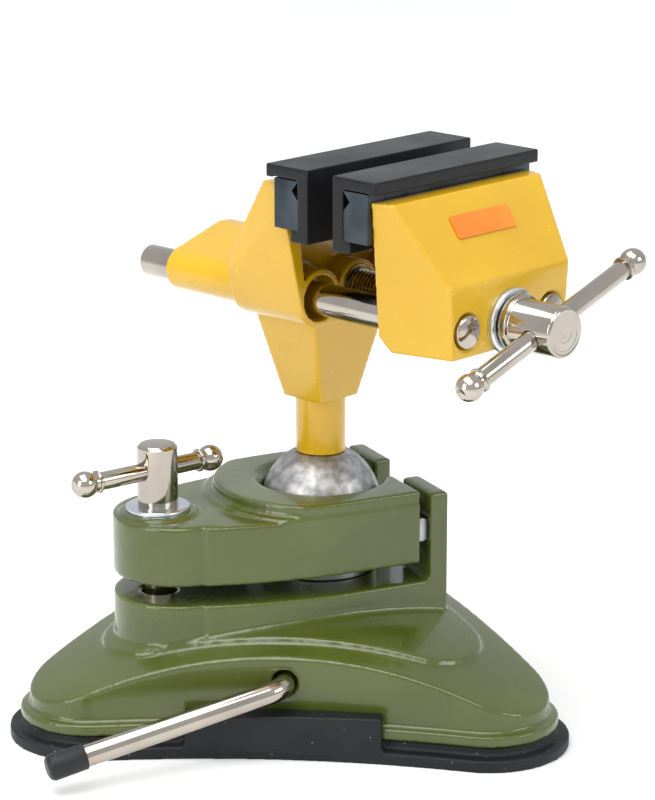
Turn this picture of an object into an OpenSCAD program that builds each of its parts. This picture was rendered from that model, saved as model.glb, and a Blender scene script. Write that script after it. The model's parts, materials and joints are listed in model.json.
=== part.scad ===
// Small bench vise: two jaws on a ball joint, held by a clamp arm on a three-lobed suction foot.
// Millimetres, +Z up. The origin is on the table, straight under the middle of the ball.
// The jaws open along -Y, and +X runs along the jaws.

/* [Suction foot] */
// Distance from the foot's middle to the middle of each lobe's end circle
lobe_d = 73.8; // [72:0.1:76]
// Radius of each lobe's end circle, at the rubber pad
lobe_r = 26.6; // [25:0.1:28]
// Distance from the foot's middle to the middle of each hollow side
side_d = 57.5; // [56:0.1:59]
// Height of the rubber pad's body, under the casting's rim
pad_t = 6.8; // [6:0.1:7]
// Thickness of the pad's outer lip
lip_t = 4; // [3:0.1:5]
// Radius of the pad's thin middle, which the lever lifts
membrane_r = 38; // [34:0.5:39]
// Height that the lever lifts the pad's middle
pad_lift = 2.4; // [1:0.1:2.4]

/* [Base casting] */
// Height of the top of the lower tower, under the clamp arm
tower_top = 45.2; // [44:0.1:46]
// Half width of the tower and of the clamp arm
tower_w = 31; // [30:0.1:32]
// Distance from the ball's axis to the clamp screw's axis
clamp_x = 58; // [56:0.1:60]
// Height of the two lugs behind the clamp arm
lug_top = 74.8; // [72:0.1:76]
// Wall of the hollow casting
wall = 5; // [4.6:0.1:5.4]

/* [Lever] */
// Diameter of the bent lever rod
lever_d = 7; // [6.5:0.1:7]
// Height of the lever's shaft
lever_z = 23.5; // [23:0.1:24]
// Angle of the lever below the level of its shaft
lever_drop = 12; // [5:1:12]

/* [Ball joint] */
// Height of the middle of the ball
ball_z = 67; // [66.5:0.1:68]
// Diameter of the ball
ball_d = 39.4; // [38:0.1:39.4]
// Diameter of the post that carries the jaws
post_d = 16.4; // [15:0.1:16.4]
// Turn of the base under the jaws, in degrees
base_turn = -20.5; // [-25:0.5:-15]

/* [Jaws] */
// Width of the steel jaw plates
jaw_w = 75; // [74:0.5:75]
// Gap between the two soft jaw covers
jaw_gap = 10.5; // [4:0.5:12]
// Height of the tops of the soft covers
cover_top = 187.6; // [186:0.1:189]
// Height of the spindle and of the guide rods
spindle_z = 142.4; // [142:0.1:143]
// Distance from the spindle to each guide rod
rod_w = 19.5; // [19:0.1:20]
// Diameter of the guide rods
rod_d = 10.4; // [9:0.1:10.4]
// Diameter of the spindle's thread
thread_d = 12; // [10:0.5:12]

/* [Hidden] */
$fn = 96;
eps = 0.01;
big = 400;
gap = 0.35;       // air between faces that move against each other
run = 0.05;       // radial clearance of a running fit

olive = "#5a6a34";
yellow = "#d8ac1c";
rubber = "#1c1c1c";
steel = "#9aa0a4";
nickel = "#c4beb4";
blued = "#2c343a";

// The foot: three lobes and three hollow sides, around the foot's own middle.
foot_x = -8.4;
lobe_angles = [60, 180, 300];
lobe_steps = 22;
side_steps = 10;
rim_inset = 3.6;     // rubber that shows around the casting's rim
rim_top = 10.6;
body_inset = 6.6;    // the casting's wall stands this far inside the pad
body_h = 38;
dome_r = 191;        // the casting's back: a flat middle and an arc that falls to the lobes
dome_flat_r = 3.7;
dome_top = 37.8;
terrace_h = 1.8;
terrace_lobe_d = 49.1;
terrace_lobe_r = 19.1;
terrace_side_d = 42.4;
terrace_depth = 14;  // the terrace and the tower reach this far down into the domed back

// Radius of the hollow side's arc that runs smoothly into two lobes.
function side_arc(d, r, m) = (r * r - m * m - d * d + d * m) / (2 * m - d - 2 * r);

// Places on the base.
arm_x = 21.2;        // the clamp arm's square end
lug_x0 = 24.9;
lug_x1 = 31.2;
slot_w = 10.1;       // half width of the slot through the arm and between the lugs
arc_r = 159.7;       // the long arcs from the square end to the nose
nose_r = 21.3;
nose_x = -sqrt(pow(arc_r - nose_r, 2) - pow(arc_r - tower_w, 2));
arm_bottom = 51.6;
arm_left_top = 71.2;
arm_top = 76;
ring_r = 35.5;       // raised rim around the ball
pin_r = 4;
pin_x = (arm_x + lug_x0) / 2;
pin_z = 62;
shaft_a = -120;      // the lever's shaft points this way
shaft_in = -17;
lever_corner_d = 56; // where the shaft's line meets the lever's line, from the foot's middle
lever_len = 76.8;
lever_lean = 26;     // the lever leans this far out from the side of the base
cam_r = 5.5;
cam_w = 8;
cam_e = pad_lift / 2;
eye_w = 2 * (cam_r + cam_e) + 1;   // the stud's eye, with play for the cam all round
eye_h = 2 * cam_r + 1;
eye_bar = 2.7;
well_r = 12;         // the stud's well under the seat
washer_top = 73.8;
bar_d = 5.8;
clamp_bar_z = 85.6;
clamp_bar_a = 12;
clamp_bar_half = 24;
clamp_bar_shift = -3.6;
spindle_bar_d = 6.2;
spindle_bar_half = 40;
spindle_bar_shift = 3.6;
spindle_bar_tilt = 18.5;
knob_r = 4.4;

// Places on the head: u is the distance along the opening, w across it.
fixed_back_u = 16.4;                       // the fixed steel plate's back
plate_t = 10;
plate_bottom = 168;
plate_top = cover_top - 3.7;
cover_face_t = 4.4;
cover_u = fixed_back_u + plate_t + cover_face_t;
mid_u = cover_u + jaw_gap / 2;             // the middle of the jaw opening
move_back_u = 2 * mid_u - fixed_back_u;    // the movable steel plate's back
front_u = move_back_u + 24.9;              // the movable jaw's front face
slope_u = move_back_u + 7.4;               // the top of the movable jaw's slope
slope_z = 156.8;                           // and the bottom of it
rear_u = -45;
body_front_u = 19;
body_top = 181;
neck_bottom = 103.5;
boss_r = 9.3;
bar_u = front_u + 14.2;
clip_u = move_back_u + 5;
clip_r = 6.4;

module in_base() {
    rotate([0, 0, base_turn]) children();
}

// The head's own axes: x along the opening, y across it.
module in_head() {
    rotate([0, 0, -90]) children();
}

module at_foot() {
    translate([foot_x, 0, 0]) children();
}

// Points of a lobed outline: d, r and m are the lobe's distance and radius and the hollow side's
// distance, and the whole outline is drawn in by inset.
function lobed_points(d, r, m, inset) =
    let (s = side_arc(d, r, m), far = s + m, phi = atan2(-far * sin(60), far * cos(60) - d))
    [for (a = lobe_angles) each concat(
        [for (i = [0 : lobe_steps])
            let (t = phi - 2 * phi * i / lobe_steps)
            turned([d, 0] + (r - inset) * [cos(t), sin(t)], a)],
        [for (i = [1 : side_steps - 1])
            let (t = 180 - phi + (120 + 2 * phi) * i / side_steps)
            turned(far * [cos(60), sin(60)] + (s + inset) * [cos(t), sin(t)], a)])];

function turned(p, a) = [p[0] * cos(a) - p[1] * sin(a), p[0] * sin(a) + p[1] * cos(a)];

module foot_solid(z0, z1, inset) {
    translate([0, 0, z0]) linear_extrude(z1 - z0)
        polygon(lobed_points(lobe_d, lobe_r, side_d, inset));
}

module terrace_solid(z0, z1) {
    translate([0, 0, z0]) linear_extrude(z1 - z0)
        polygon(lobed_points(terrace_lobe_d, terrace_lobe_r, terrace_side_d, 0));
}

// Everything under the casting's domed back, moved up by lift.
module under_dome(lift = 0) {
    rotate_extrude($fn = 120) intersection() {
        square([dome_flat_r + dome_r, dome_top + lift]);
        union() {
            square([dome_flat_r, dome_top + lift]);
            translate([dome_flat_r, dome_top + lift - dome_r]) circle(dome_r, $fn = 240);
        }
    }
}

// Outline of the tower and the clamp arm: square at one end, a round nose at the other.
module nose_outline(x_end, inset = 0) {
    intersection() {
        union() {
            translate([nose_x, 0]) circle(nose_r - inset);
            translate([nose_x, -big / 2]) square([x_end - nose_x, big]);
        }
        union() {
            translate([-eps, -tower_w + inset]) square([x_end + eps, 2 * (tower_w - inset)]);
            intersection() {
                translate([0, tower_w - arc_r]) circle(arc_r - inset, $fn = 360);
                translate([0, arc_r - tower_w]) circle(arc_r - inset, $fn = 360);
                translate([-big / 2, -big / 2]) square([big / 2, big]);
            }
        }
    }
}

module along_shaft(d) {
    at_foot() rotate([0, 0, shaft_a]) translate([d, 0, lever_z]) rotate([0, 90, 0]) children();
}

module base_casting() {
    web_t = 7;
    web_r = 9;
    color(olive) in_base() difference() {
        union() {
            at_foot() foot_solid(pad_t, rim_top, rim_inset);
            at_foot() intersection() {
                foot_solid(pad_t, body_h, body_inset);
                under_dome();
            }
            at_foot() intersection() {
                terrace_solid(dome_top - terrace_depth, dome_top + terrace_h + 1);
                under_dome(terrace_h);
            }
            translate([0, 0, dome_top - terrace_depth])
                linear_extrude(tower_top - dome_top + terrace_depth) nose_outline(lug_x1);
            for (s = [-1, 1]) translate([lug_x0, s > 0 ? slot_w : -tower_w, dome_top])
                cube([lug_x1 - lug_x0, tower_w - slot_w, lug_top - dome_top]);
        }
        // hollow inside
        at_foot() intersection() {
            foot_solid(pad_t - 1, body_h - wall, body_inset + wall);
            under_dome(-wall);
            difference() {
                cylinder(h = big, r = big);
                along_shaft_local(shaft_in + 2) cylinder(h = web_t, r = web_r);
                along_shaft_local(shaft_in + 2) translate([-big / 10, -web_r, 0])
                    cube([big / 10, 2 * web_r, web_t]);
                along_shaft_local(side_d - 17.5) cylinder(h = 12, r = web_r - 1);
            }
        }
        at_foot() translate([0, 0, lever_z]) cylinder(h = 12.1, r = well_r);
        along_shaft(shaft_in - 2) cylinder(h = 90, r = lever_d / 2 + run);
        along_shaft(side_d - 9) cylinder(h = 9, r = lever_d / 2 + 0.7);
        // seat recess, nut pocket and clamp screw hole
        translate([0, 0, tower_top - 6]) cylinder(h = 7, r = 12 + run);
        translate([-clamp_x, 0, 20]) cylinder(h = 40, r = 5 + 0.6);
        translate([-clamp_x, 0, 20]) cylinder(h = 12.2, r = 9.85, $fn = 6);
        for (s = [-1, 1]) translate([pin_x, s * 12, pin_z]) rotate([-90 * s, 0, 0])
            cylinder(h = 17, r = pin_r + run);
    }
}

// The same placing as along_shaft, for pieces that already sit at the foot's middle.
module along_shaft_local(d) {
    rotate([0, 0, shaft_a]) translate([d, 0, lever_z]) rotate([0, 90, 0]) children();
}

module suction_pad() {
    tab_w = 63;
    tab_top = 15.2;
    color(rubber) in_base() at_foot() difference() {
        union() {
            foot_solid(0, lip_t, 0);
            foot_solid(0, pad_t, rim_inset + 1);
            rotate([0, 0, shaft_a]) translate([side_d - 6, -tab_w / 2, lip_t - 1])
                cube([7.2, tab_w, tab_top - lip_t + 1]);
        }
        translate([0, 0, -1]) cylinder(h = pad_t + 2, r = membrane_r + gap);
        // the tab stands against the casting's rim and wall
        foot_solid(pad_t, tab_top + 1, body_inset - gap);
        foot_solid(pad_t, rim_top + gap, rim_inset - gap);
        // shallow ring under the rim
        translate([0, 0, -1]) difference() {
            cylinder(h = 2, r = membrane_r + 8);
            translate([0, 0, -1]) cylinder(h = 4, r = membrane_r + 4);
        }
    }
}

module pad_membrane() {
    color(rubber) in_base() at_foot() difference() {
        cylinder(h = 4, r = membrane_r);
        translate([0, 0, 2.7]) cylinder(h = 2, r = 18 + run);
    }
}

module lift_stud() {
    eye_z = lever_z - cam_e - eye_h / 2;
    stud_w = eye_w + 2 * eye_bar;
    plate_h = 2.5;
    color(steel) in_base() at_foot() {
        translate([0, 0, 2.7]) cylinder(h = plate_h, r = 18);
        rotate([0, 0, shaft_a]) difference() {
            translate([-3, -stud_w / 2, 2.6 + plate_h])
                cube([6, stud_w, eye_z + eye_h + eye_bar - 2.6 - plate_h]);
            translate([-4, -eye_w / 2, eye_z]) cube([8, eye_w, eye_h]);
        }
    }
}

// Axes at the lever's corner: z along the shaft, x the way the lever points.
module at_lever_corner() {
    along_shaft(lever_corner_d) rotate([0, 0, 270 + lever_drop]) children();
}

// Axes along the lever: z along it, from the corner.
module lever_path(d) {
    at_lever_corner() rotate([0, 90 - lever_lean, 0]) translate([0, 0, d]) children();
}

module lever_rod() {
    color(nickel) in_base() {
        along_shaft(shaft_in) cylinder(h = lever_corner_d - shaft_in, r = lever_d / 2);
        along_shaft(lever_corner_d) sphere(r = lever_d / 2 + 0.06);
        lever_path(0) cylinder(h = lever_len - 4, r = lever_d / 2);
    }
}

module lever_cam() {
    color(steel) in_base() difference() {
        along_shaft(-cam_w / 2) translate([cam_e, 0, 0]) cylinder(h = cam_w, r = cam_r);
        along_shaft(-cam_w) cylinder(h = 2 * cam_w, r = lever_d / 2);
    }
}

module lever_cap() {
    cap_r = 4.3;
    cap_len = 11;
    color(rubber) in_base() difference() {
        lever_path(lever_len - cap_len + 1) union() {
            cylinder(h = cap_len, r1 = cap_r - 0.2, r2 = cap_r);
            translate([0, 0, cap_len]) cylinder(h = 1.5, r1 = cap_r, r2 = cap_r - 1.4);
        }
        lever_path(0) cylinder(h = lever_len - 4, r = lever_d / 2);
    }
}

module lever_clip() {
    color(blued) in_base() along_shaft(shaft_in + 0.4) difference() {
        cylinder(h = 1.2, r = 6.5);
        translate([0, 0, -1]) cylinder(h = 4, r = lever_d / 2);
        translate([0, -2, -1]) cube([8, 4, 4]);
    }
}

module ball_space(r) {
    translate([0, 0, ball_z]) sphere(r = r);
}

module clamp_arm() {
    cup_r = ball_d / 2 + gap;
    color(olive) in_base() difference() {
        union() {
            translate([0, 0, arm_bottom]) linear_extrude(arm_left_top - arm_bottom)
                nose_outline(arm_x);
            translate([0, 0, arm_left_top - 1]) linear_extrude(arm_top - arm_left_top + 1)
                intersection() {
                    nose_outline(arm_x, 0.4);
                    union() {
                        circle(ring_r);
                        translate([0, -big / 2]) square([big, big]);
                    }
                }
            translate([0, 0, arm_left_top - 1]) linear_extrude(2) intersection() {
                nose_outline(arm_x, 0.2);
                circle(ring_r + 3);
            }
            translate([-clamp_x, 0, arm_left_top - 1]) cylinder(h = 2, r1 = 12.8, r2 = 12.4);
        }
        ball_space(cup_r);
        translate([0, 0, arm_bottom - 1]) cylinder(h = ball_z - arm_bottom + 1, r = cup_r);
        translate([0, 0, arm_top - 3]) cylinder(h = 3 + eps, r1 = 19.2, r2 = 22.2);
        translate([0, -slot_w, arm_bottom - 1]) cube([big, 2 * slot_w, big]);
        // hollow underside between the ball and the clamp screw
        translate([0, 0, arm_bottom - 1]) linear_extrude(9) difference() {
            nose_outline(arm_x - 7, 5);
            translate([-clamp_x, 0]) circle(10);
            translate([-eps, -big / 2]) square([big, big]);
            circle(25);
        }
        translate([-clamp_x, 0, arm_bottom - 1]) cylinder(h = 30, r = 6);
        for (s = [-1, 1]) translate([pin_x, s * 12, pin_z]) rotate([-90 * s, 0, 0])
            cylinder(h = 17, r = pin_r + 0.08);
    }
}

module arm_pivot_pins() {
    color(steel) in_base() for (s = [-1, 1]) translate([pin_x, s * 12.3, pin_z])
        rotate([-90 * s, 0, 0]) cylinder(h = 16.4, r = pin_r);
}

// Placing for a bar through a screw's head, with its own middle at the origin.
module at_clamp_bar() {
    in_base() translate([-clamp_x, 0, clamp_bar_z]) rotate([0, 0, clamp_bar_a]) rotate([0, 90, 0])
        translate([0, 0, clamp_bar_shift]) children();
}

module at_spindle_bar() {
    in_head() translate([bar_u, 0, spindle_z]) rotate([spindle_bar_tilt, 0, 0])
        rotate([-90, 0, 0]) translate([0, 0, spindle_bar_shift]) children();
}

module bar(half, d) {
    translate([0, 0, -half]) cylinder(h = 2 * half, r = d / 2);
}

// Two turned knobs with a flat end and a collar, pressed on the bar's ends.
module knobs(half, d) {
    for (s = [0, 180]) rotate([s, 0, 0]) difference() {
        translate([0, 0, half]) union() {
            intersection() {
                sphere(r = knob_r);
                translate([0, 0, -3.6]) cylinder(h = 7.6, r = knob_r + 1);
            }
            translate([0, 0, -5]) cylinder(h = 2, r1 = d / 2 + 0.7, r2 = d / 2 + 1);
        }
        cylinder(h = half, r = d / 2);
    }
}

module clamp_screw() {
    color(nickel) in_base() difference() {
        translate([-clamp_x, 0, 0]) union() {
            translate([0, 0, 26]) cylinder(h = washer_top - 26 + 0.1, r = 5);
            translate([0, 0, washer_top]) cylinder(h = 19.4, r = 6.5);
            translate([0, 0, washer_top + 19.4]) cylinder(h = 0.9, r1 = 6.5, r2 = 5.6);
        }
        translate([-clamp_x, 0, clamp_bar_z]) rotate([0, 0, clamp_bar_a]) rotate([0, 90, 0])
            cylinder(h = 20, r = bar_d / 2 + run, center = true);
    }
}

module clamp_washer() {
    color("#b4bcc4") in_base() translate([-clamp_x, 0, washer_top - 1.6]) difference() {
        cylinder(h = 1.6, r = 10.4);
        translate([0, 0, -1]) cylinder(h = 4, r = 5.3);
    }
}

module clamp_nut() {
    color(steel) in_base() translate([-clamp_x, 0, 24]) difference() {
        cylinder(h = 8, r = 9.8, $fn = 6);
        translate([0, 0, -1]) cylinder(h = 10, r = 5 + run);
    }
}

module clamp_bar() {
    color(nickel) at_clamp_bar() bar(clamp_bar_half, bar_d);
}

module clamp_bar_knobs() {
    color(nickel) at_clamp_bar() knobs(clamp_bar_half, bar_d);
}

module ball_seat() {
    color(steel) in_base() difference() {
        union() {
            translate([0, 0, tower_top + gap]) cylinder(h = 57 - tower_top - gap, r = 18.4);
            translate([0, 0, tower_top - 5.6]) cylinder(h = 7, r = 12);
        }
        ball_space(ball_d / 2 + gap);
        translate([0, 0, 30]) cylinder(h = 40, r = 7);
    }
}

module swivel_ball() {
    color("#a4a6a6") difference() {
        intersection() {
            ball_space(ball_d / 2);
            cylinder(h = ball_z + 17.7, r = 30);
        }
        translate([0, 0, ball_z - 6]) cylinder(h = 40, r = 6 + run);
        translate([0, 0, 30]) cylinder(h = 40, r = 3 + 0.3);
        translate([0, 0, 40]) cylinder(h = 13.5, r = 5.6);
    }
}

module ball_screw() {
    color(blued) difference() {
        union() {
            translate([0, 0, 48.4]) cylinder(h = 5 - gap + 0.4, r = 5);
            translate([0, 0, 50]) cylinder(h = 30, r = 3);
        }
        translate([0, 0, 47]) cylinder(h = 4, r = 2.9, $fn = 6);
    }
}

module swivel_post() {
    color(yellow) difference() {
        union() {
            translate([0, 0, ball_z - 5.6]) cylinder(h = 26, r = 6);
            translate([0, 0, ball_z + 17.7 + gap]) cylinder(h = 40, r = post_d / 2);
        }
        translate([0, 0, 50]) cylinder(h = 30.2, r = 3);
    }
}

// Section of the jaw bodies across the opening: wide at the top, two rounds at the guide rods.
module jaw_section(top_w, shelf_w, shelf_z) {
    hull() {
        for (s = [-1, 1]) translate([s * rod_w, spindle_z]) circle(boss_r);
        translate([-shelf_w, shelf_z]) square([2 * shelf_w, 1]);
    }
    polygon([[-shelf_w, shelf_z], [shelf_w, shelf_z], [top_w, body_top], [-top_w, body_top]]);
}

module across(u0, u1) {
    translate([u1, 0, 0]) rotate([90, 0, -90]) linear_extrude(u1 - u0) children();
}

module fixed_jaw() {
    back_top_u = 8.2;
    back_low_u = -12;
    low_z = 152.4;
    side_taper = 0.2;
    top_w = 36;
    color(yellow) in_head() difference() {
        union() {
            intersection() {
                across(back_low_u, body_front_u) jaw_section(top_w, top_w - 1, plate_bottom - 0.4);
                // slanted back
                translate([0, 50, 0]) rotate([90, 0, 0]) linear_extrude(100)
                    polygon([[back_low_u, 120], [body_front_u, 120], [body_front_u, 190],
                             [back_top_u, 190], [back_top_u, body_top], [back_low_u, low_z]]);
                // sides that close in towards the back
                linear_extrude(200)
                    polygon([[fixed_back_u, -top_w], [fixed_back_u + 9, -top_w],
                             [fixed_back_u + 9, top_w], [fixed_back_u, top_w],
                             [back_low_u, top_w - side_taper * (fixed_back_u - back_low_u)],
                             [back_low_u, -top_w + side_taper * (fixed_back_u - back_low_u)]]);
            }
            // rear boss around the rods and the spindle
            across(rear_u, 0) rear_section();
            neck();
        }
        // shelf for the steel plate
        translate([fixed_back_u, -50, plate_bottom - 0.4]) cube([50, 100, 50]);
        // pocket behind the front edge, around the bosses
        difference() {
            across(9, 30) offset(delta = -3.2) jaw_section(top_w - 2, top_w - 4, plate_bottom - 3);
            for (s = [-1, 1]) translate([0, s * rod_w, spindle_z]) rotate([0, 90, 0])
                cylinder(h = 60, r = boss_r);
            translate([0, 0, spindle_z]) rotate([0, 90, 0]) cylinder(h = body_front_u - 2, r = boss_r);
        }
        for (s = [-1, 1]) translate([0, s * rod_w, spindle_z]) rotate([0, 90, 0]) {
            translate([0, 0, rear_u - 1]) cylinder(h = 90, r = rod_d / 2 + run);
            translate([0, 0, body_front_u - 8]) cylinder(h = 20, r = boss_r - 1.9);
        }
        translate([rear_u - 1, 0, spindle_z]) rotate([0, 90, 0]) cylinder(h = 90, r = thread_d / 2 + 0.5);
        translate([2, 0, spindle_z]) rotate([0, 90, 0]) cylinder(h = 40, r = 7.6);
        for (s = [-1, 1]) translate([fixed_back_u - 8.4, s * 22, 176]) rotate([0, 90, 0])
            cylinder(h = 30, r = 2);
        cylinder(h = neck_bottom + 22, r = post_d / 2);
    }
}

module rear_section() {
    hull() {
        for (s = [-1, 1]) translate([s * rod_w, spindle_z]) circle(7.1);
        translate([0, spindle_z]) circle(12.9);
    }
}

// Four-sided neck that narrows down to the post.
module neck() {
    lo_u = 8.6;
    lo_w = 8.6;
    hi_u = 15;
    hi_w = 18.6;
    hi_z = 140;
    polyhedron(
        points = [[lo_u, lo_w, neck_bottom], [-lo_u, lo_w, neck_bottom],
                  [-lo_u, -lo_w, neck_bottom], [lo_u, -lo_w, neck_bottom],
                  [hi_u, hi_w, hi_z], [-hi_u, hi_w, hi_z], [-hi_u, -hi_w, hi_z], [hi_u, -hi_w, hi_z]],
        faces = [[0, 1, 2, 3], [7, 6, 5, 4], [4, 5, 1, 0], [5, 6, 2, 1], [6, 7, 3, 2], [7, 4, 0, 3]]);
}

module spindle_nut() {
    color("#b09a5c") in_head() translate([2, 0, spindle_z]) rotate([0, 90, 0]) difference() {
        cylinder(h = body_front_u - 4, r = 7.6);
        translate([0, 0, -1]) cylinder(h = 30, r = thread_d / 2 + run);
    }
}

// Steel plate with a level V groove, its back at u = 0 and its face at u = plate_t.
module jaw_plate() {
    v_z = 180.3;
    difference() {
        translate([0, jaw_w / 2, 0]) rotate([90, 0, 0]) linear_extrude(jaw_w)
            polygon([[0, plate_bottom], [plate_t, plate_bottom], [plate_t, v_z - 3],
                     [plate_t - 2.6, v_z], [plate_t, v_z + 3], [plate_t, plate_top - gap],
                     [0, plate_top - gap]]);
        for (s = [-1, 1]) translate([0, s * 22, 176]) rotate([0, 90, 0]) {
            translate([0, 0, -1]) cylinder(h = 30, r = 2.6);
            translate([0, 0, 4]) cylinder(h = 30, r = 4.6);
        }
    }
}

module plate_screws() {
    for (s = [-1, 1]) translate([0, s * 22, 176]) rotate([0, 90, 0]) difference() {
        union() {
            translate([0, 0, -8]) cylinder(h = 13, r = 2);
            translate([0, 0, 4]) cylinder(h = 3, r = 4.2);
        }
        translate([0, 0, 5.4]) cylinder(h = 4, r = 2, $fn = 6);
    }
}

// Soft cover: a face, a flange over the plate with a lip behind it, and a hook under it.
module jaw_cover() {
    face_u = plate_t;
    face_top = plate_top;
    hook_z = plate_bottom - 3.8;
    translate([0, jaw_w / 2 + 0.4, 0]) rotate([90, 0, 0]) linear_extrude(jaw_w + 0.8)
        polygon([[face_u + cover_face_t, hook_z], [face_u + cover_face_t, cover_top],
                 [-3.4, cover_top], [-3.4, face_top - 0.4], [-0.8, face_top - 0.4],
                 [-0.8, face_top], [face_u, face_top], [face_u, plate_bottom],
                 [face_u - 3, plate_bottom], [face_u - 3, hook_z]]);
}

// Placing for the movable side: the fixed side's pieces, turned to face them.
module on_fixed_side() {
    in_head() translate([fixed_back_u, 0, 0]) children();
}

module on_movable_side() {
    in_head() translate([move_back_u, 0, 0]) mirror([1, 0, 0]) children();
}

module fixed_jaw_plate() {
    color(blued) on_fixed_side() jaw_plate();
}

module fixed_jaw_screws() {
    color(steel) on_fixed_side() plate_screws();
}

module fixed_jaw_cover() {
    color(rubber) on_fixed_side() jaw_cover();
}

module movable_jaw() {
    back_u = move_back_u;
    bottom_z = 134.2;
    top_w = 36.2;
    low_w = 32.4;
    front_top_w = 29.8;
    front_low_w = 26;
    color(yellow) in_head() difference() {
        intersection() {
            polyhedron(
                points = [[back_u, low_w, bottom_z], [back_u, -low_w, bottom_z],
                          [back_u, -top_w, body_top], [back_u, top_w, body_top],
                          [front_u, front_low_w, bottom_z], [front_u, -front_low_w, bottom_z],
                          [front_u, -front_top_w, body_top], [front_u, front_top_w, body_top]],
                faces = [[3, 2, 1, 0], [4, 5, 6, 7], [0, 1, 5, 4], [1, 2, 6, 5], [2, 3, 7, 6],
                         [3, 0, 4, 7]]);
            translate([0, 50, 0]) rotate([90, 0, 0]) linear_extrude(100)
                polygon([[back_u + 4, bottom_z], [front_u, bottom_z], [front_u, slope_z],
                         [slope_u, body_top], [back_u, body_top], [back_u, bottom_z + 5]]);
        }
        // room for the end of the thread and for the clip
        translate([back_u - 1, 0, spindle_z]) rotate([0, 90, 0])
            cylinder(h = clip_u - back_u + 3, r = clip_r + 0.6);
        for (s = [-1, 1]) translate([back_u - 1, s * rod_w, spindle_z]) rotate([0, 90, 0]) {
            cylinder(h = 60, r = rod_d / 2);
        }
        translate([back_u - 1, 0, spindle_z]) rotate([0, 90, 0]) cylinder(h = 60, r = 5 + run);
        for (s = [-1, 1]) translate([back_u - 1, s * 22, 176]) rotate([0, 90, 0])
            cylinder(h = 9, r = 2);
    }
}

module guide_rods() {
    color(nickel) in_head() for (s = [-1, 1]) translate([0, s * rod_w, spindle_z])
        rotate([0, 90, 0]) {
            translate([0, 0, -59.2]) cylinder(h = front_u + 59.2, r = rod_d / 2);
            translate([0, 0, -60]) cylinder(h = 0.8, r1 = rod_d / 2 - 0.8, r2 = rod_d / 2);
            translate([0, 0, front_u]) cylinder(h = 1, r1 = rod_d / 2, r2 = rod_d / 2 - 2);
        }
}

module movable_jaw_plate() {
    color(blued) on_movable_side() jaw_plate();
}

module movable_jaw_screws() {
    color(steel) on_movable_side() plate_screws();
}

module movable_jaw_cover() {
    color(rubber) on_movable_side() jaw_cover();
}

// Blank plate on the slope of the movable jaw.
module label_plate() {
    rise = body_top - slope_z;
    run_u = front_u - slope_u;
    slope = atan2(rise, run_u);
    label_h = 7.6;
    label_w = 27;
    up = 0.62;        // how far up the slope its middle is
    color("#e08a1c") in_head() translate([front_u - up * run_u, -1, slope_z + up * rise])
        rotate([0, slope, 0]) translate([-label_h / 2, -label_w / 2, 0])
            cube([label_h, label_w, 0.5]);
}

module spindle_screw() {
    color(nickel) in_head() difference() {
        translate([0, 0, spindle_z]) rotate([0, 90, 0]) {
            translate([0, 0, -44]) cylinder(h = clip_u - 2 + 44, r = thread_d / 2);
            translate([0, 0, -45]) cylinder(h = 1, r1 = thread_d / 2 - 1, r2 = thread_d / 2);
            translate([0, 0, clip_u - 2]) cylinder(h = front_u + 5 - clip_u, r = 5);
            translate([0, 0, front_u + 2.4]) cylinder(h = 3.4, r = 9);
            translate([0, 0, front_u + 5]) cylinder(h = 16.2, r = 8);
            translate([0, 0, front_u + 21.2]) cylinder(h = 0.8, r1 = 8, r2 = 7.2);
        }
        translate([bar_u, 0, spindle_z]) rotate([spindle_bar_tilt, 0, 0])
            rotate([-90, 0, 0]) cylinder(h = 40, r = spindle_bar_d / 2 + run, center = true);
        translate([clip_u - 0.1, 0, spindle_z]) rotate([0, 90, 0]) difference() {
            cylinder(h = 1.2, r = 6);
            translate([0, 0, -1]) cylinder(h = 4, r = 4.2);
        }
    }
}

module spindle_washer() {
    color("#b4bcc4") in_head() translate([front_u, 0, spindle_z]) rotate([0, 90, 0]) difference() {
        cylinder(h = 2, r = 10.6);
        translate([0, 0, -1]) cylinder(h = 4, r = 5.3);
    }
}

module spindle_clip() {
    color(blued) in_head() translate([clip_u, 0, spindle_z]) rotate([0, 90, 0]) difference() {
        cylinder(h = 1, r = clip_r);
        translate([0, 0, -1]) cylinder(h = 4, r = 4.2);
        translate([-9, -1.5, -1]) cube([9, 3, 4]);
    }
}

module spindle_bar() {
    color(nickel) at_spindle_bar() bar(spindle_bar_half, spindle_bar_d);
}

module spindle_bar_knobs() {
    color(nickel) at_spindle_bar() knobs(spindle_bar_half, spindle_bar_d);
}

base_casting();
suction_pad();
pad_membrane();
lift_stud();
lever_rod();
lever_cam();
lever_cap();
lever_clip();
clamp_arm();
arm_pivot_pins();
clamp_screw();
clamp_washer();
clamp_nut();
clamp_bar();
clamp_bar_knobs();
ball_seat();
swivel_ball();
ball_screw();
swivel_post();
fixed_jaw();
spindle_nut();
fixed_jaw_plate();
fixed_jaw_screws();
fixed_jaw_cover();
movable_jaw();
guide_rods();
movable_jaw_plate();
movable_jaw_screws();
movable_jaw_cover();
label_plate();
spindle_screw();
spindle_washer();
spindle_clip();
spindle_bar();
spindle_bar_knobs();
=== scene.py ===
"""Looks for the small ball-joint bench vise: castings, turned pieces, thread, rubber, light, camera."""
import json
import math

import bmesh
import bpy
from mathutils import Matrix, Vector


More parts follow.
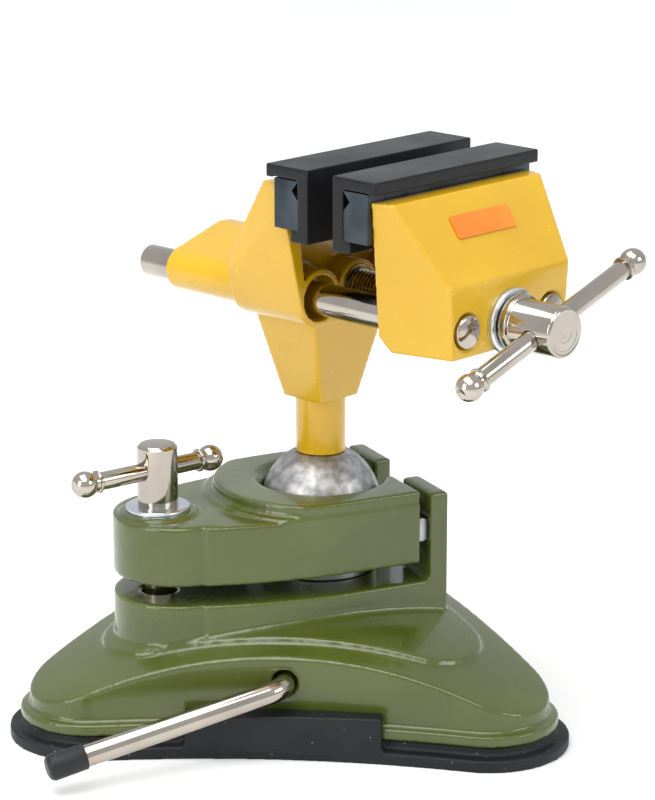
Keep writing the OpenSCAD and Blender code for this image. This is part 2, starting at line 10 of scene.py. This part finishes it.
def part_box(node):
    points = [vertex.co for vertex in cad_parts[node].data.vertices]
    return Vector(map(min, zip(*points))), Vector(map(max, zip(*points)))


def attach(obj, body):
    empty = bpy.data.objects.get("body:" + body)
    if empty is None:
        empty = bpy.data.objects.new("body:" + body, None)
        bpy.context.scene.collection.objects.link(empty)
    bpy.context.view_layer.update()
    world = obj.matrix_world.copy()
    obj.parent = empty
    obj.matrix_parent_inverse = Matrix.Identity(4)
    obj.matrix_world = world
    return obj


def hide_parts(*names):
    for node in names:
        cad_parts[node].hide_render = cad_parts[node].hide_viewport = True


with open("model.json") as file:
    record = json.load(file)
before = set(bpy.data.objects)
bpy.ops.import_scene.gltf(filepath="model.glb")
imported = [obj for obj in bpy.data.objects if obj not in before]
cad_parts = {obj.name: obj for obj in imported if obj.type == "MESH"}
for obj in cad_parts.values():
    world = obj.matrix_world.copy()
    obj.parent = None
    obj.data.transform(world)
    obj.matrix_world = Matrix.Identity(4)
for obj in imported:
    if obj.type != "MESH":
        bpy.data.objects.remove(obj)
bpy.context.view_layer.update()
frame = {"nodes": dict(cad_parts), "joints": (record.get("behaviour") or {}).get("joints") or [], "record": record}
nodes = frame["nodes"]
joints = {joint["name"]: joint for joint in frame["joints"]}
slot_of = {part["node"]: part["material_slot"] for part in frame["record"]["subparts"]}
body_of = {node: body for body, members in frame["record"]["behaviour"]["bodies"].items()
           for node in members}
MM = 0.001


# ---------------------------------------------------------------- camera, floor and lights

CAMERA_PLACE = (-0.680, -0.657, 0.3675)
CAMERA_TILT = 74.29        # degrees up from straight down
CAMERA_HEADING = -46.12    # degrees round from +Y, seen from above
LENS = 135
SENSOR_HEIGHT = 36
LIGHTS_AIM = Vector((0, 0, 0.09))
FLOOR_SIZE = 14


def make_camera():
    cam = bpy.data.cameras.new("camera")
    cam.sensor_fit = "VERTICAL"
    cam.sensor_height = SENSOR_HEIGHT
    cam.lens = LENS
    cam.clip_end = 30
    obj = bpy.data.objects.new("camera", cam)
    obj.location = CAMERA_PLACE
    obj.rotation_euler = (math.radians(CAMERA_TILT), 0, math.radians(CAMERA_HEADING))
    bpy.context.scene.collection.objects.link(obj)
    bpy.context.scene.camera = obj


def softbox(name, place, size, power, colour=(1, 1, 1)):
    """A rectangular area light that looks at the middle of the vise."""
    light = bpy.data.lights.new(name, "AREA")
    light.shape = "RECTANGLE"
    light.size, light.size_y = size
    light.energy = power
    light.color = colour
    obj = bpy.data.objects.new(name, light)
    obj.location = place
    obj.rotation_euler = (LIGHTS_AIM - Vector(place)).to_track_quat("-Z", "Y").to_euler()
    bpy.context.scene.collection.objects.link(obj)


def overcast_sun():
    """Wide, weak sun that keeps the floor evenly bright out to the far edge of the picture."""
    sun = bpy.data.lights.new("overcast", "SUN")
    sun.energy = 1.1
    sun.angle = math.radians(40)
    obj = bpy.data.objects.new("overcast", sun)
    obj.rotation_euler = (math.radians(18), math.radians(-22), 0)
    bpy.context.scene.collection.objects.link(obj)


def make_floor():
    bpy.ops.mesh.primitive_plane_add(size=FLOOR_SIZE, location=(0, 0, 0))
    floor = bpy.context.object
    floor.name = "floor"
    mat, nt, bsdf = new_material("floor_paper")
    colour_noise(nt, bsdf, (0.93, 0.93, 0.925), (0.90, 0.90, 0.895), 3)
    bsdf.inputs["Roughness"].default_value = 0.8
    floor.data.materials.append(mat)


def make_world():
    world = bpy.data.worlds.new("studio")
    bpy.context.scene.world = world
    world.use_nodes = True
    back = world.node_tree.nodes["Background"]
    back.inputs["Color"].default_value = (0.90, 0.92, 0.95, 1)
    back.inputs["Strength"].default_value = 0.80


def make_studio():
    make_floor()
    make_world()
    overcast_sun()
    softbox("top_box", (-0.25, 0.15, 1.15), (0.9, 0.7), 6)
    softbox("left_box", (-1.25, 0.05, 0.55), (0.5, 0.9), 6, (1.0, 0.97, 0.92))
    softbox("front_box", (0.35, -1.3, 0.75), (0.7, 0.5), 5)


# ---------------------------------------------------------------- materials

# Painted highlight on sharp outer edges: the pointiness where it starts and where it is full, and how much of the
# lighter colour it mixes in.
HIGHLIGHT_STARTS, HIGHLIGHT_FULL, HIGHLIGHT_DEPTH = 0.56, 0.62, 0.55    # pointiness, pointiness, share of colour
DUST = (0.30, 0.28, 0.22)


def new_material(name):
    mat = bpy.data.materials.new(name)
    mat.use_nodes = True
    return mat, mat.node_tree, mat.node_tree.nodes["Principled BSDF"]


def own_place(nt):
    """The point on the surface in the object's own coordinates, in metres."""
    return nt.nodes.new("ShaderNodeTexCoord").outputs["Object"]


def noise(nt, scale, detail=4.0):
    """A noise texture; scale is in waves per metre."""
    tex = nt.nodes.new("ShaderNodeTexNoise")
    tex.inputs["Scale"].default_value = scale
    tex.inputs["Detail"].default_value = detail
    nt.links.new(own_place(nt), tex.inputs["Vector"])
    return tex.outputs["Fac"]


def spread(nt, value, from_low, from_high, to_low=0.0, to_high=1.0):
    """Stretches value from one range of numbers to another."""
    node = nt.nodes.new("ShaderNodeMapRange")
    node.inputs["From Min"].default_value = from_low
    node.inputs["From Max"].default_value = from_high
    node.inputs["To Min"].default_value = to_low
    node.inputs["To Max"].default_value = to_high
    nt.links.new(value, node.inputs["Value"])
    return node.outputs["Result"]


def ramp(nt, fac, stops):
    """A colour ramp; stops is a list of (place, rgb)."""
    node = nt.nodes.new("ShaderNodeValToRGB")
    while len(node.color_ramp.elements) < len(stops):
        node.color_ramp.elements.new(0.5)
    for element, (place, rgb) in zip(node.color_ramp.elements, stops):
        element.position = place
        element.color = (*rgb, 1)
    nt.links.new(fac, node.inputs["Fac"])
    return node.outputs["Color"]


def colour_noise(nt, bsdf, dark, light, scale):
    """Base colour that drifts between dark and light."""
    colour = ramp(nt, noise(nt, scale), [(0.35, dark), (0.65, light)])
    nt.links.new(colour, bsdf.inputs["Base Color"])
    return colour


def rough_noise(nt, bsdf, low, high, scale):
    """Roughness that drifts between low and high."""
    nt.links.new(spread(nt, noise(nt, scale), 0.3, 0.7, low, high), bsdf.inputs["Roughness"])


def bump(nt, bsdf, height, strength, distance):
    node = nt.nodes.new("ShaderNodeBump")
    node.inputs["Strength"].default_value = strength
    node.inputs["Distance"].default_value = distance
    nt.links.new(height, node.inputs["Height"])
    nt.links.new(node.outputs["Normal"], bsdf.inputs["Normal"])


def specks(nt, scale, size):
    """1 in small round spots, 0 between them."""
    tex = nt.nodes.new("ShaderNodeTexVoronoi")
    tex.inputs["Scale"].default_value = scale
    nt.links.new(own_place(nt), tex.inputs["Vector"])
    return spread(nt, tex.outputs["Distance"], size, size * 0.6)


def mix_colour(nt, fac, colour, rgb):
    """colour where fac is 0, rgb where it is 1."""
    node = nt.nodes.new("ShaderNodeMix")
    node.data_type = "RGBA"
    nt.links.new(fac, node.inputs["Factor"])
    nt.links.new(colour, node.inputs["A"])
    node.inputs["B"].default_value = (*rgb, 1)
    return node.outputs["Result"]


def edge_highlight(nt, colour, rgb):
    """Paints a highlight: blends the lighter rgb in on sharp outer edges."""
    geometry = nt.nodes.new("ShaderNodeNewGeometry")
    highlighted = spread(nt, geometry.outputs["Pointiness"], HIGHLIGHT_STARTS, HIGHLIGHT_FULL, 0.0, HIGHLIGHT_DEPTH)
    return mix_colour(nt, highlighted, colour, rgb)


def paint(name, dark, light, edge):
    """Glossy stoved paint: slow colour drift, a painted highlight in the lighter edge colour on sharp edges, a
    faint orange peel and a few specks of dust.
    """
    mat, nt, bsdf = new_material(name)
    colour = colour_noise(nt, bsdf, dark, light, 28)
    # painted highlight: the lighter edge colour on sharp edges
    colour = edge_highlight(nt, colour, edge)
    pale = tuple(min(1, 1.5 * channel + 0.05) for channel in light)
    colour = mix_colour(nt, specks(nt, 190, 0.05), colour, pale)
    nt.links.new(colour, bsdf.inputs["Base Color"])
    rough_noise(nt, bsdf, 0.20, 0.30, 60)
    bsdf.inputs["Coat Weight"].default_value = 0.4
    bsdf.inputs["Coat Roughness"].default_value = 0.07
    bump(nt, bsdf, noise(nt, 420, 3), 0.10, 0.0004)
    return mat


def rubber(name, dark, light, low, high, dust=0.045):
    """Matt rubber with a fine grain; low and high are its roughness, dust the size of the specks."""
    mat, nt, bsdf = new_material(name)
    colour = colour_noise(nt, bsdf, dark, light, 35)
    colour = mix_colour(nt, specks(nt, 330, dust), colour, DUST)
    nt.links.new(colour, bsdf.inputs["Base Color"])
    bsdf.inputs["Specular IOR Level"].default_value = 0.28
    rough_noise(nt, bsdf, low, high, 50)
    bump(nt, bsdf, noise(nt, 1600, 5), 0.25, 0.00025)
    return mat


def metal(name, dark, light, low, high, scale=40):
    """Bare or plated metal; low and high are its roughness."""
    mat, nt, bsdf = new_material(name)
    colour_noise(nt, bsdf, dark, light, scale)
    bsdf.inputs["Metallic"].default_value = 1.0
    rough_noise(nt, bsdf, low, high, scale * 2)
    bump(nt, bsdf, noise(nt, 900, 4), 0.15, 0.00003)
    return mat


def ball_metal():
    """Tumbled raw aluminium: mottled light and dark, with pits."""
    mat, nt, bsdf = new_material("ball_metal")
    tones = [(0.38, (0.28, 0.28, 0.28)), (0.50, (0.38, 0.38, 0.38)), (0.64, (0.50, 0.50, 0.49))]
    nt.links.new(ramp(nt, noise(nt, 330, 9), tones), bsdf.inputs["Base Color"])
    bsdf.inputs["Metallic"].default_value = 1.0
    rough_noise(nt, bsdf, 0.38, 0.55, 200)
    bump(nt, bsdf, noise(nt, 900, 6), 0.35, 0.00012)
    return mat


def label_foil():
    """Plain orange foil, slightly uneven in tone."""
    mat, nt, bsdf = new_material("label_foil")
    colour_noise(nt, bsdf, (0.66, 0.17, 0.010), (0.74, 0.23, 0.016), 60)
    rough_noise(nt, bsdf, 0.28, 0.42, 90)
    bump(nt, bsdf, noise(nt, 700, 3), 0.08, 0.0001)
    return mat


def make_materials():
    """One material for each slot of the record."""
    return {
        # the third colour of each paint is its painted highlight on sharp edges
        "olive_paint": paint("olive_enamel", (0.058, 0.074, 0.009), (0.072, 0.092, 0.013),
                             (0.18, 0.20, 0.06)),
        "yellow_paint": paint("yellow_enamel", (0.56, 0.320, 0.002), (0.62, 0.365, 0.003),
                              (0.78, 0.54, 0.04)),
        "pad_rubber": rubber("foot_rubber", (0.006, 0.007, 0.008), (0.011, 0.012, 0.014),
                             0.42, 0.60, 0.075),
        "cover_rubber": rubber("cover_moulding", (0.005, 0.005, 0.006), (0.009, 0.009, 0.010),
                               0.30, 0.44, 0.03),
        "cap_rubber": rubber("cap_dip", (0.012, 0.013, 0.014), (0.020, 0.021, 0.022), 0.34, 0.48),
        "nickel": metal("nickel_plate", (0.40, 0.36, 0.31), (0.52, 0.47, 0.41), 0.06, 0.15),
        "zinc": metal("zinc_plate", (0.58, 0.63, 0.69), (0.70, 0.73, 0.77), 0.18, 0.32, 120),
        "blued_steel": metal("blued_plate", (0.035, 0.045, 0.055), (0.075, 0.09, 0.105),
                             0.30, 0.46, 90),
        "plain_steel": metal("machined_steel", (0.34, 0.34, 0.34), (0.48, 0.48, 0.47),
                             0.26, 0.42, 70),
        "ball_aluminium": ball_metal(),
        "bronze": metal("bearing_bronze", (0.48, 0.34, 0.17), (0.62, 0.46, 0.25), 0.28, 0.44, 80),
        "label": label_foil(),
    }


# ---------------------------------------------------------------- mesh helpers

def finish_piece(obj, node, materials, replaces=True):
    """Gives a new piece its body, slot and material from the CAD node it stands for or sits on."""
    slot = slot_of[node]
    obj.data.materials.clear()
    obj.data.materials.append(materials[slot])
    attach(obj, body_of[node])
    if replaces:
        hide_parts(node)


def new_object(name, bm):
    """An object with the mesh bm, which is used up."""
    mesh = bpy.data.meshes.new(name)
    bm.to_mesh(mesh)
    bm.free()
    obj = bpy.data.objects.new(name, mesh)
    bpy.context.scene.collection.objects.link(obj)
    return obj


def outward_object(name, bm):
    """The same, with its faces turned outwards."""
    bmesh.ops.recalc_face_normals(bm, faces=bm.faces)
    return new_object(name, bm)


def smooth_by_angle(mesh, degrees):
    """Smooth shading, with edges sharper than the angle kept crisp."""
    for poly in mesh.polygons:
        poly.use_smooth = True
    mesh.set_sharp_from_angle(angle=math.radians(degrees))


def turned_piece(name, bm, node, materials, crisp, replaces=True):
    """A finished piece from a turned or swept mesh; crisp is the angle of its crisp edges."""
    obj = outward_object(name, bm)
    smooth_by_angle(obj.data, crisp)
    finish_piece(obj, node, materials, replaces)


def welded_copy(node):
    bm = bmesh.new()
    bm.from_mesh(nodes[node].data)
    bmesh.ops.remove_doubles(bm, verts=bm.verts, dist=2e-6)
    bmesh.ops.recalc_face_normals(bm, faces=bm.faces)
    return bm


def bake_modifiers(obj):
    """Replaces the object's mesh by what its modifiers make of it."""
    depsgraph = bpy.context.evaluated_depsgraph_get()
    mesh = bpy.data.meshes.new_from_object(obj.evaluated_get(depsgraph))
    obj.modifiers.clear()
    old = obj.data
    obj.data = mesh
    bpy.data.meshes.remove(old)


def cut(obj, cutter):
    """Takes cutter out of obj, and deletes it."""
    mod = obj.modifiers.new("cut", "BOOLEAN")
    mod.operation = "DIFFERENCE"
    mod.solver = "EXACT"
    mod.object = cutter
    bake_modifiers(obj)
    bpy.data.objects.remove(cutter)


def axis_frame(place, axis):
    """Matrix whose z axis is axis, at place."""
    turn = Vector(axis).normalized().to_track_quat("Z", "Y").to_matrix().to_4x4()
    return Matrix.Translation(Vector(place)) @ turn


def ring_point(radius, height, turn):
    return Vector((radius * math.cos(turn), radius * math.sin(turn), height))


def lathe(bm, matrix, profile, steps=72):
    """Turns (radius, height) points round matrix's z axis; a radius of 0 closes an end."""
    rings = []
    for radius, height in profile:
        count = 1 if radius == 0 else steps
        rings.append([bm.verts.new(matrix @ ring_point(radius, height, 2 * math.pi * i / steps))
                      for i in range(count)])
    for low, high in zip(rings, rings[1:]):
        for i in range(steps):
            j = (i + 1) % steps
            corners = [low[i % len(low)], low[j % len(low)], high[j % len(high)], high[i % len(high)]]
            bm.faces.new(list(dict.fromkeys(corners)))


def arc(radius, height, r, start, end, steps):
    """Points of a rounded corner in a lathe profile: r about (radius, height), angles in degrees."""
    turns = [math.radians(start + (end - start) * i / steps) for i in range(steps + 1)]
    return [(max(0.0, radius + r * math.cos(turn)), height + r * math.sin(turn)) for turn in turns]


def tube(bm, points, radius, steps=40):
    """A round tube through the points, square to them, with flat ends."""
    rings = []
    side = (points[1] - points[0]).normalized().orthogonal().normalized()
    for i, point in enumerate(points):
        ahead = (points[min(i + 1, len(points) - 1)] - points[max(i - 1, 0)]).normalized()
        side = (side - ahead * side.dot(ahead)).normalized()
        other = ahead.cross(side)
        turns = [2 * math.pi * k / steps for k in range(steps)]
        rings.append([bm.verts.new(point + radius * (math.cos(turn) * side + math.sin(turn) * other))
                      for turn in turns])
    for low, high in zip(rings, rings[1:]):
        for k in range(steps):
            bm.faces.new([low[k], low[(k + 1) % steps], high[(k + 1) % steps], high[k]])
    bm.faces.new(rings[0])
    bm.faces.new(rings[-1])


def cylinder(name, place, axis, radius, length):
    """A plain cutter, centred on place."""
    bm = bmesh.new()
    half = length / 2
    lathe(bm, axis_frame(place, axis), [(0, -half), (radius, -half), (radius, half), (0, half)], 48)
    return outward_object(name, bm)


def middle(node):
    low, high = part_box(node)
    return (Vector(low) + Vector(high)) / 2


def reach(node, place, axis):
    """Lowest and highest distance of a node's vertices from place, along axis."""
    along = [(v.co - Vector(place)).dot(Vector(axis)) for v in nodes[node].data.vertices]
    return min(along), max(along)


# ---------------------------------------------------------------- castings and milled pieces

# node: voxel in mm, rounds of softening, share of the faces kept
CASTINGS = {
    "base_casting": (0.7, 9, 0.30),
    "clamp_arm": (0.6, 9, 0.35),
    "fixed_jaw": (0.5, 6, 0.30),
    "movable_jaw": (0.5, 7, 0.30),
    "suction_pad": (0.6, 6, 0.30),
    "fixed_jaw_cover": (0.4, 5, 0.30),
    "movable_jaw_cover": (0.4, 5, 0.30),
}

# node: width of the broken edges in mm
MACHINED = {
    "swivel_ball": 0.3,
    "swivel_post": 0.2,
    "guide_rods": 0.2,
    "clamp_screw": 0.25,
    "clamp_bar": 0.3,
    "spindle_bar": 0.3,
    "fixed_jaw_plate": 0.3,
    "movable_jaw_plate": 0.3,
    "arm_pivot_pins": 0.3,
    "spindle_nut": 0.3,
}
FLAT_ENOUGH = math.radians(0.4)
SHARP_ENOUGH = math.radians(30)


def cast(node, materials, cutters=()):
    """A casting or moulding: the CAD solid with its edges rounded as a mould rounds them."""
    voxel, rounds, keep = CASTINGS[node]
    obj = new_object(node + "_cast", welded_copy(node))
    for cutter in cutters:
        cut(obj, cutter)
    remesh = obj.modifiers.new("remesh", "REMESH")
    remesh.mode = "VOXEL"
    remesh.voxel_size = voxel * MM
    soften = obj.modifiers.new("soften", "SMOOTH")
    soften.factor = 0.5
    soften.iterations = rounds
    thin = obj.modifiers.new("thin", "DECIMATE")
    thin.ratio = keep
    bake_modifiers(obj)
    for poly in obj.data.polygons:
        poly.use_smooth = True
    finish_piece(obj, node, materials)


def machined(node, materials):
    """A turned or milled piece: the CAD solid with its sharp edges broken."""
    bm = welded_copy(node)
    bmesh.ops.dissolve_limit(bm, angle_limit=FLAT_ENOUGH, verts=bm.verts, edges=bm.edges)
    sharp = [e for e in bm.edges if len(e.link_faces) == 2 and e.calc_face_angle() > SHARP_ENOUGH]
    bmesh.ops.bevel(bm, geom=sharp, offset=MACHINED[node] * MM, offset_type="OFFSET", segments=2,
                    profile=0.6, affect="EDGES", clamp_overlap=True)
    obj = new_object(node + "_turned", bm)
    smooth_by_angle(obj.data, 38)
    finish_piece(obj, node, materials)


# ---------------------------------------------------------------- bars with ball ends

BALL_R = 4.3 * MM
BALL_OUT = 2.4 * MM    # from the knob's base to the end of the bar


def knob_profile(bar_r, base):
    """Collar, neck and ball with a flat turned end, from the bar outwards."""
    middle_of_ball = base + 2.6 * MM
    return ([(bar_r * 1.01, base - 2.6 * MM)]
            + arc(bar_r + 0.35 * MM, base - 2.1 * MM, 0.5 * MM, -90, 90, 5)
            + [(bar_r * 1.06, base - 1.5 * MM)]
            + arc(0, middle_of_ball, BALL_R, -46, 62, 18)
            + [(BALL_R * 0.40, middle_of_ball + BALL_R * 0.915),
               (BALL_R * 0.34, middle_of_ball + BALL_R * 0.90),
               (0, middle_of_ball + BALL_R * 0.90)])


def knobs(bar_node, bar_r, materials):
    """Both ball ends of a bar, as one piece like the CAD node."""
    axis = Vector(joints[bar_node + "_slide"]["axis"]).normalized()
    place = middle(bar_node)
    low, high = reach(bar_node, place, axis)
    bm = bmesh.new()
    for way, length in ((axis, high), (-axis, -low)):
        lathe(bm, axis_frame(place, way), knob_profile(bar_r, length - BALL_OUT))
    knob_node = bar_node + "_knobs"
    turned_piece(knob_node + "_turned", bm, knob_node, materials, 32)


# ---------------------------------------------------------------- lever

LEVER_R = 3.5 * MM
LEVER_BEND_R = 8 * MM
LEVER_CORNER = 6 * MM    # from the joint's place to the corner, along the shaft
LEVER_CAP_R = 4.25 * MM
LEVER_IN_CAP = 4 * MM


def lever_route(corner, out, along, shaft_low, cap_low):
    """Points along the shaft, round the bend and down the lever into its cap."""
    half = out.angle(along) / 2
    start = corner - out * LEVER_BEND_R * math.tan(half)
    first = corner + out * shaft_low
    shaft = [first + out * (start - first).dot(out) * i / 3 for i in range(3)]
    inward = (along - out * along.dot(out)).normalized()
    centre = start + inward * LEVER_BEND_R
    turns = [2 * half * i / 12 for i in range(13)]
    bend = [centre - inward * LEVER_BEND_R * math.cos(turn) + out * LEVER_BEND_R * math.sin(turn)
            for turn in turns]
    last = corner + along * (cap_low + LEVER_IN_CAP)
    return shaft + bend + [bend[-1] + (last - bend[-1]) * i / 3 for i in range(1, 4)]


def lever_cap_profile(length):
    """Open rolled mouth, slightly tapered wall and a rounded end."""
    end_r = 2.1 * MM
    return ([(LEVER_R, 1.0 * MM), (LEVER_R + 0.1 * MM, 0.1 * MM)]
            + arc(LEVER_CAP_R - 0.55 * MM, 0.3 * MM, 0.35 * MM, -90, 0, 4)
            + [(LEVER_CAP_R - 0.1 * MM, length * 0.4)]
            + arc(LEVER_CAP_R - end_r, length - end_r, end_r, 0, 90, 8) + [(0, length)])


def lever(materials):
    """Chromed rod with a smooth bend just outside the casting, and its dipped cap."""
    joint = joints["lever_turn"]
    out = -Vector(joint["axis"]).normalized()
    corner = Vector(joint["pos_m"]) + out * LEVER_CORNER
    along = (middle("lever_cap") - corner).normalized()
    shaft_low, _ = reach("lever_rod", corner, out)
    cap_low, cap_high = reach("lever_cap", corner, along)
    bm = bmesh.new()
    tube(bm, lever_route(corner, out, along, shaft_low, cap_low), LEVER_R)
    turned_piece("lever_rod_bent", bm, "lever_rod", materials, 40)
    bm = bmesh.new()
    lathe(bm, axis_frame(corner + along * cap_low, along), lever_cap_profile(cap_high - cap_low), 48)
    turned_piece("lever_cap_dip", bm, "lever_cap", materials, 50)


# ---------------------------------------------------------------- spindle

THREAD_LEAD = 3 * MM
THREAD_STARTS = 2
THREAD_ROOT_R, THREAD_CREST_R, THREAD_WIDTH = 5.1 * MM, 6.0 * MM, 1.25 * MM
NECK_R = 5.0 * MM
NECK_LENGTH = 22 * MM    # plain stretch behind the jaw's front face
HEAD_R = 8 * MM
COLLAR_R = 9 * MM
BAR_HOLE_R = 3.35 * MM


def helix_ridge(bm, matrix, start, end, phase, steps=28):
    """One thread start: a ridge with sloping flanks wound round matrix's z axis."""
    total = int((end - start) / THREAD_LEAD * steps)
    half, crest = THREAD_WIDTH / 2, THREAD_WIDTH / 8
    rings = []
    for i in range(total + 1):
        turn = phase + 2 * math.pi * i / steps
        height = start + THREAD_LEAD * i / steps
        fade = min(1.0, i / steps, (total - i) / steps)
        top = THREAD_ROOT_R + (THREAD_CREST_R - THREAD_ROOT_R) * fade
        section = ((THREAD_ROOT_R, -half), (top, -crest), (top, crest), (THREAD_ROOT_R, half))
        rings.append([bm.verts.new(matrix @ ring_point(radius, height + shift, turn))
                      for radius, shift in section])
    for low, high in zip(rings, rings[1:]):
        for k in range(3):
            bm.faces.new([low[k], low[k + 1], high[k + 1], high[k]])
        bm.faces.new([low[3], low[0], high[0], high[3]])
    bm.faces.new(rings[0])
    bm.faces.new(rings[-1])


def spindle_profile(low, neck, front, high):
    """Root of the thread, plain neck, collar, then the head and its shallow turned rings."""
    collar = front + 2.4 * MM
    edge = 0.5 * MM
    return ([(0, low)] + arc(4.2 * MM, low + 1.0 * MM, 1.0 * MM, -90, 0, 4)
            + [(THREAD_ROOT_R + 0.05 * MM, neck), (NECK_R, neck + edge), (NECK_R, collar)]
            + arc(COLLAR_R - edge, collar + edge, edge, -90, 0, 3)
            + arc(COLLAR_R - edge, collar + 2.6 * MM, edge, 0, 90, 3)
            + [(HEAD_R + 0.1 * MM, collar + 3.2 * MM), (HEAD_R, collar + 3.6 * MM)]
            + arc(HEAD_R - 1.0 * MM, high - 1.0 * MM, 1.0 * MM, 0, 80, 7)
            + [(HEAD_R - 1.5 * MM, high - 0.25 * MM), (HEAD_R * 0.72, high - 0.2 * MM),
               (HEAD_R * 0.70, high - 0.35 * MM), (HEAD_R * 0.40, high - 0.3 * MM),
               (HEAD_R * 0.38, high - 0.45 * MM), (HEAD_R * 0.12, high - 0.4 * MM),
               (0, high - 0.7 * MM)])


def spindle(materials):
    """Threaded spindle with a turned head and a cross hole for the bar."""
    joint = joints["spindle_turn"]
    axis = Vector(joint["axis"]).normalized()
    place = Vector(joint["pos_m"])
    matrix = axis_frame(place, axis)
    low, high = reach("spindle_screw", place, axis)
    front = reach("movable_jaw", place, axis)[1]
    neck = front - NECK_LENGTH
    bm = bmesh.new()
    lathe(bm, matrix, spindle_profile(low, neck, front, high), 96)
    obj = outward_object("spindle_turned", bm)
    hole_place = place + axis * (middle("spindle_bar") - place).dot(axis)
    cut(obj, cylinder("bar_hole", hole_place, joints["spindle_bar_slide"]["axis"], BAR_HOLE_R, 40 * MM))
    bm = bmesh.new()
    bm.from_mesh(obj.data)
    for start in range(THREAD_STARTS):
        helix_ridge(bm, matrix, low + 1.5 * MM, neck - 0.5 * MM, start * 2 * math.pi / THREAD_STARTS)
    bm.to_mesh(obj.data)
    bm.free()
    smooth_by_angle(obj.data, 34)
    finish_piece(obj, "spindle_screw", materials)


# ---------------------------------------------------------------- washers, rivet heads and label

WASHER_HOLE_R = 5.3 * MM
RECESS_MARGIN = 1.1 * MM
RECESS_LENGTH = 1.6 * MM
LABEL_EDGES = 1 * MM       # edges shorter than this are the plate's corners


def washer(node, materials, rim, thick, axis, place):
    """A stamped washer, rounded on its outer edges; place is the middle of its under face."""
    bm = bmesh.new()
    profile = ([(WASHER_HOLE_R, 0), (rim - 0.2 * MM, 0)]
               + arc(rim - 0.5 * MM, 0.5 * MM, 0.5 * MM, -60, 0, 3)
               + arc(rim - 0.7 * MM, thick - 0.7 * MM, 0.7 * MM, 0, 90, 5)
               + [(WASHER_HOLE_R, thick), (WASHER_HOLE_R, 0)])
    lathe(bm, axis_frame(place, axis), profile)
    turned_piece(node + "_stamped", bm, node, materials, 40)


def washers(materials):
    """The spindle's washer lies against the jaw, the clamp screw's on the arm."""
    low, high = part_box("spindle_washer")
    place = Vector(((low[0] + high[0]) / 2, high[1], (low[2] + high[2]) / 2))
    out = Vector(joints["spindle_turn"]["axis"]).normalized()
    washer("spindle_washer", materials, 10.6 * MM, 2.0 * MM, out, place)
    low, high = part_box("clamp_washer")
    place = Vector(((low[0] + high[0]) / 2, (low[1] + high[1]) / 2, low[2]))
    washer("clamp_washer", materials, 10.4 * MM, 1.6 * MM, (0, 0, 1), place)


def rivet_profile(rod_r):
    """Low dome with a small dimple, on a short plug."""
    return ([(0, -1.2 * MM), (rod_r, -1.2 * MM), (rod_r, -0.2 * MM)]
            + arc(rod_r - 0.8 * MM, -0.1 * MM, 0.8 * MM, 0, 60, 4)
            + [(rod_r * 0.45, 0.95 * MM), (rod_r * 0.38, 0.85 * MM), (0, 0.8 * MM)])


def rivet_heads(materials):
    """Domed heads on the guide rods' front ends; returns cutters for the recesses they sit in."""
    axis = Vector(joints["jaw_slide"]["axis"]).normalized()
    front = reach("movable_jaw", (0, 0, 0), axis)[1]
    low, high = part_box("guide_rods")
    rod_r = (high[2] - low[2]) / 2
    recesses = []
    for number, x in enumerate((low[0] + rod_r, high[0] - rod_r), start=1):
        place = Vector((x, 0, low[2] + rod_r)) + axis * front
        bm = bmesh.new()
        lathe(bm, axis_frame(place, axis), rivet_profile(rod_r), 60)
        turned_piece("rod_head_%d" % number, bm, "guide_rods", materials, 40, replaces=False)
        recesses.append(cylinder("recess", place, axis, rod_r + RECESS_MARGIN, RECESS_LENGTH))
    return recesses


def label(materials):
    """Blank foil plate with rounded corners and a border round its slightly sunk middle."""
    bm = welded_copy("label_plate")
    bmesh.ops.dissolve_limit(bm, angle_limit=math.radians(1), verts=bm.verts, edges=bm.edges)
    corners = [e for e in bm.edges if e.calc_length() < LABEL_EDGES]
    bmesh.ops.bevel(bm, geom=corners, offset=0.9 * MM, segments=4, profile=0.5, affect="EDGES",
                    clamp_overlap=True)
    front = max((f for f in bm.faces if f.calc_area() > 1e-5), key=lambda f: f.normal.z)
    bmesh.ops.inset_region(bm, faces=[front], thickness=0.7 * MM, depth=0)
    bmesh.ops.inset_region(bm, faces=[front], thickness=0.15 * MM, depth=-0.12 * MM)
    finish_piece(new_object("label_blank", bm), "label_plate", materials)


# ---------------------------------------------------------------- everything together

def build(materials):
    recesses = rivet_heads(materials)
    for node in CASTINGS:
        cast(node, materials, recesses if node == "movable_jaw" else ())
    for node in MACHINED:
        machined(node, materials)
    knobs("clamp_bar", 2.9 * MM, materials)
    knobs("spindle_bar", 3.1 * MM, materials)
    lever(materials)
    spindle(materials)
    washers(materials)
    label(materials)
    for node, obj in nodes.items():
        if not obj.hide_render:
            obj.data.materials.clear()
            obj.data.materials.append(materials[slot_of[node]])


bpy.context.scene.view_settings.view_transform = "Standard"
make_camera()
make_studio()
build(make_materials())
